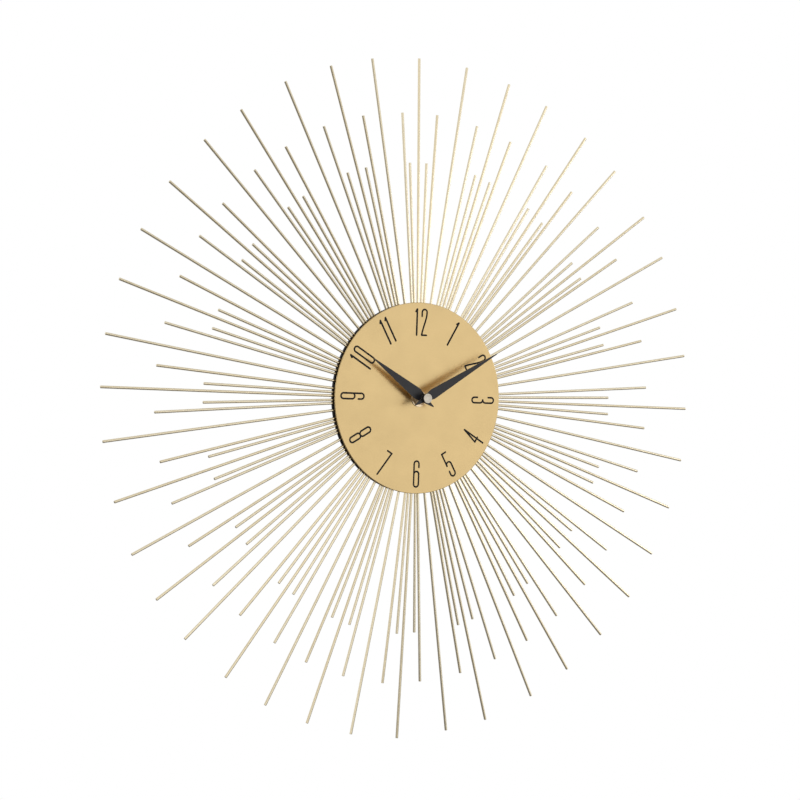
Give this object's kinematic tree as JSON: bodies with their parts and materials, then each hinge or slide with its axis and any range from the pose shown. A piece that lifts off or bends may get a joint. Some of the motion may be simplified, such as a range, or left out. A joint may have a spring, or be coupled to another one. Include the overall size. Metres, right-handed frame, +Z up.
{
  "type": "sunburst wall clock",
  "caption": "Round wall clock with a gold dial, radiating metal rods in three lengths, dark kite-shaped hands and a battery quartz movement behind.",
  "frame": {"origin": "on the hands' axis, at the back face of the movement, where the clock touches the wall", "axes": "-Y out of the dial towards the viewer, +X to the right as seen from the front (3 o'clock), +Z up (12 o'clock)"},
  "size_m": [0.6078, 0.0427, 0.6084],
  "materials": {
    "champagne_gold": "satin champagne gold",
    "ray_gold": "polished pale gold",
    "black_paint": "semi-matt black",
    "hand_black": "satin black paint",
    "silver": "satin silver",
    "brass": "turned brass",
    "zinc_steel": "zinc plated",
    "rubber": "matt",
    "case_plastic": "fine moulded texture",
    "gear_plastic": "natural acetal",
    "magnet": "dull sintered",
    "copper_wire": "enamelled copper wire",
    "board_green": "solder mask",
    "epoxy": "epoxy blob",
    "cell_sleeve": "shrink sleeve over a steel can"
  },
  "bodies": {
    "frame": {"dial_plate": "champagne_gold", "back_plate": "black_paint", "threaded_bushing": "brass", "bushing_washer": "brass", "bushing_nut": "brass", "rubber_gasket": "rubber", "hanger_plate": "zinc_steel", "movement_case_front": "case_plastic", "movement_case_back": "case_plastic", "train_bridge": "gear_plastic", "stator": "zinc_steel", "coil_bobbin": "gear_plastic", "coil_winding": "copper_wire", "circuit_board": "board_green", "driver_chip": "epoxy", "quartz_crystal": "zinc_steel", "contact_positive": "zinc_steel", "contact_negative": "zinc_steel", "ray_cluster_01": "ray_gold", "ray_cluster_02": "ray_gold", "ray_cluster_03": "ray_gold", "ray_cluster_04": "ray_gold", "ray_cluster_05": "ray_gold", "ray_cluster_06": "ray_gold", "ray_cluster_07": "ray_gold", "ray_cluster_08": "ray_gold", "ray_cluster_09": "ray_gold", "ray_cluster_10": "ray_gold", "ray_cluster_11": "ray_gold", "ray_cluster_12": "ray_gold", "ray_cluster_13": "ray_gold", "ray_cluster_14": "ray_gold", "ray_cluster_15": "ray_gold", "ray_cluster_16": "ray_gold", "ray_cluster_17": "ray_gold", "ray_cluster_18": "ray_gold", "ray_cluster_19": "ray_gold", "ray_cluster_20": "ray_gold", "dial_standoff_1": "zinc_steel", "dial_standoff_2": "zinc_steel", "dial_standoff_3": "zinc_steel", "dial_standoff_4": "zinc_steel", "plate_screw_1": "zinc_steel", "plate_screw_2": "zinc_steel", "plate_screw_3": "zinc_steel", "plate_screw_4": "zinc_steel"},
    "minute_hand": {"minute_hand": "hand_black", "cap_nut": "silver", "minute_arbor": "brass"},
    "hour_hand": {"hour_hand": "hand_black", "hour_wheel": "gear_plastic"},
    "motion_wheel": {"motion_wheel": "gear_plastic"},
    "setting_knob": {"setting_knob": "gear_plastic"},
    "center_wheel": {"center_wheel": "gear_plastic"},
    "third_wheel": {"third_wheel": "gear_plastic"},
    "second_wheel": {"second_wheel": "gear_plastic"},
    "fifth_wheel": {"fifth_wheel": "gear_plastic"},
    "rotor": {"rotor": "magnet"},
    "battery": {"battery": "cell_sleeve"}
  },
  "joints": [
    {"name": "minute_hand_turn", "type": "hinge", "parent": "frame", "child": "minute_hand", "pos_m": [0, -0.0391, 0], "axis": [0, 1, 0], "continuous": true},
    {"name": "hour_hand_turn", "type": "hinge", "parent": "frame", "child": "hour_hand", "pos_m": [0, -0.0339, 0], "axis": [0, 1, 0], "continuous": true},
    {"name": "motion_wheel_turn", "type": "hinge", "parent": "frame", "child": "motion_wheel", "pos_m": [-0.00156, -0.0126, 0.00886], "axis": [0, 1, 0], "continuous": true},
    {"name": "setting_knob_turn", "type": "hinge", "parent": "frame", "child": "setting_knob", "pos_m": [0.00031, -0.0017, 0.01767], "axis": [0, 1, 0], "continuous": true},
    {"name": "rotor_turn", "type": "hinge", "parent": "frame", "child": "rotor", "pos_m": [-0.01339, -0.0081, 0.01357], "axis": [0, 1, 0], "continuous": true},
    {"name": "fifth_wheel_turn", "type": "hinge", "parent": "frame", "child": "fifth_wheel", "pos_m": [-0.00966, -0.0063, 0.00558], "axis": [0, 1, 0], "continuous": true},
    {"name": "second_wheel_turn", "type": "hinge", "parent": "frame", "child": "second_wheel", "pos_m": [0, -0.0079, 0], "axis": [0, 1, 0], "continuous": true},
    {"name": "third_wheel_turn", "type": "hinge", "parent": "frame", "child": "third_wheel", "pos_m": [0.00929, -0.0095, 0.0065], "axis": [0, 1, 0], "continuous": true},
    {"name": "center_wheel_turn", "type": "hinge", "parent": "frame", "child": "center_wheel", "pos_m": [0, -0.0111, 0], "axis": [0, 1, 0], "continuous": true},
    {"name": "battery_slide", "type": "slide", "parent": "frame", "child": "battery", "axis": [0, 1, 0], "range_m": [0, 0.03]}
  ],
  "couplings": [
    {"joint": "hour_hand_turn", "follows": "minute_hand_turn", "ratio": 0.083333},
    {"joint": "motion_wheel_turn", "follows": "minute_hand_turn", "ratio": -0.33333},
    {"joint": "setting_knob_turn", "follows": "minute_hand_turn", "ratio": 1},
    {"joint": "fifth_wheel_turn", "follows": "rotor_turn", "ratio": -0.16667},
    {"joint": "second_wheel_turn", "follows": "rotor_turn", "ratio": 0.033333},
    {"joint": "third_wheel_turn", "follows": "rotor_turn", "ratio": -0.0041667},
    {"joint": "center_wheel_turn", "follows": "rotor_turn", "ratio": 0.00055556}
  ]
}
